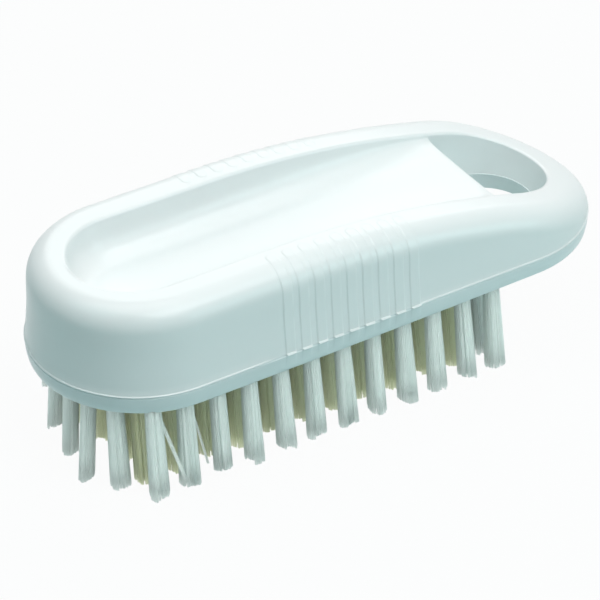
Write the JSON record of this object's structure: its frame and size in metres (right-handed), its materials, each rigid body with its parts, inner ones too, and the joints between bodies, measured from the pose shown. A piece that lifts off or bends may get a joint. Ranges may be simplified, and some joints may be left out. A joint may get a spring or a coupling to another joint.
{
  "type": "nail brush",
  "caption": "Moulded nail brush with a finger trough along its sloping handle, a D-shaped hanging hole at the low end, ribbed grips and a field of stapled bristle tufts.",
  "frame": {"origin": "middle of the brush's footprint, in the plane of the bristle tips", "axes": "+X along the handle towards the hanging hole, +Z from the bristle tips up to the finger trough"},
  "size_m": [0.1094, 0.0412, 0.0369],
  "materials": {
    "shell_plastic": "gloss",
    "plate_plastic": "gloss",
    "bristle": "satin",
    "anchor_wire": "satin"
  },
  "bodies": {
    "root": {"handle_shell": "shell_plastic", "bristle_plate": "plate_plastic", "tufts_01": "bristle", "tufts_02": "bristle", "tufts_03": "bristle", "tufts_04": "bristle", "tufts_05": "bristle", "tufts_06": "bristle", "tufts_07": "bristle", "tufts_08": "bristle", "tufts_09": "bristle", "tufts_10": "bristle", "tufts_11": "bristle", "tufts_12": "bristle", "tufts_13": "bristle", "anchors_01": "anchor_wire", "anchors_02": "anchor_wire", "anchors_03": "anchor_wire", "anchors_04": "anchor_wire", "anchors_05": "anchor_wire", "anchors_06": "anchor_wire", "anchors_07": "anchor_wire", "anchors_08": "anchor_wire", "anchors_09": "anchor_wire", "anchors_10": "anchor_wire", "anchors_11": "anchor_wire", "anchors_12": "anchor_wire", "anchors_13": "anchor_wire"}
  },
  "joints": []
}
